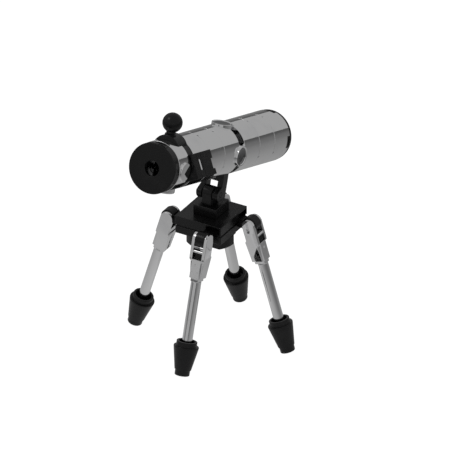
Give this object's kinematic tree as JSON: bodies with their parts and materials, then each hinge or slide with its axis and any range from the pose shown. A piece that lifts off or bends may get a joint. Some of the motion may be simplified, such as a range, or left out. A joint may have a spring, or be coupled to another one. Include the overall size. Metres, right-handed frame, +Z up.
{
  "type": "spectroscope",
  "caption": "Miniature spectroscope built from round chromed bricks: a tilting tube with eye disc, ball knob and slit housing on a swivel head above a base with folding legs.",
  "frame": {"origin": "on the floor under the middle of the whole object's footprint", "axes": "+Z up; +Y along the tube towards its lower far end, away from the eye disc; +X is on the right of someone looking into the eye disc, the side the slit housing is on"},
  "size_m": [0.0538, 0.076, 0.0903],
  "materials": {
    "chrome": "mirror-bright chrome plating on moulded plastic",
    "black": "smooth moulded black plastic",
    "pins": "plain turned pins"
  },
  "bodies": {
    "base": {"base_plate": "black", "base_tile": "black", "hinge_lug_1": "black", "hinge_lug_2": "black", "hinge_lug_3": "black", "hinge_lug_4": "black", "under_plate": "black"},
    "head": {"swivel_plate": "black", "knuckle_finger": "black", "lock_screw": "pins"},
    "leg_1": {"leg_fork_1": "chrome", "hinge_pin_1": "pins", "leg_bar_1": "chrome", "foot_cone_1": "black"},
    "leg_2": {"leg_fork_2": "chrome", "hinge_pin_2": "pins", "leg_bar_2": "chrome", "foot_cone_2": "black"},
    "leg_3": {"leg_fork_3": "chrome", "hinge_pin_3": "pins", "leg_bar_3": "chrome", "foot_cone_3": "black"},
    "leg_4": {"leg_fork_4": "chrome", "hinge_pin_4": "pins", "leg_bar_4": "chrome", "foot_cone_4": "black"},
    "tube": {"ball_knob": "black", "collar_plate": "black", "end_cap": "black", "eye_disc": "black", "lower_cap": "chrome", "mid_plate": "black", "near_ring": "chrome", "port_cap_left": "chrome", "port_cap_right": "chrome", "port_cap_top": "chrome", "slit_frame": "black", "slit_jaw": "black", "tilt_pin": "black", "tube_brick_1": "chrome", "tube_brick_2": "chrome", "tube_brick_3": "chrome", "tube_brick_4": "chrome", "tube_brick_5": "chrome", "tube_brick_6": "chrome"}
  },
  "joints": [
    {"name": "head_swivel", "type": "hinge", "parent": "base", "child": "head", "pos_m": [0, 0.00025, 0.0448], "axis": [0, 0, 1], "continuous": true},
    {"name": "tube_tilt", "type": "hinge", "parent": "head", "child": "tube", "pos_m": [0, -0.00035, 0.0517], "axis": [1, 0, 0], "range_deg": [-17, 50]},
    {"name": "leg_fold_1", "type": "hinge", "parent": "base", "child": "leg_1", "pos_m": [0.012, 0.00425, 0.0418], "axis": [0, -1, 0], "range_deg": [-17, 38]},
    {"name": "leg_fold_2", "type": "hinge", "parent": "base", "child": "leg_2", "pos_m": [-0.004, 0.01225, 0.0418], "axis": [1, 0, 0], "range_deg": [-17, 38]},
    {"name": "leg_fold_3", "type": "hinge", "parent": "base", "child": "leg_3", "pos_m": [-0.012, -0.00375, 0.0418], "axis": [0, 1, 0], "range_deg": [-17, 38]},
    {"name": "leg_fold_4", "type": "hinge", "parent": "base", "child": "leg_4", "pos_m": [0.004, -0.01175, 0.0418], "axis": [-1, 0, 0], "range_deg": [-17, 38]}
  ]
}
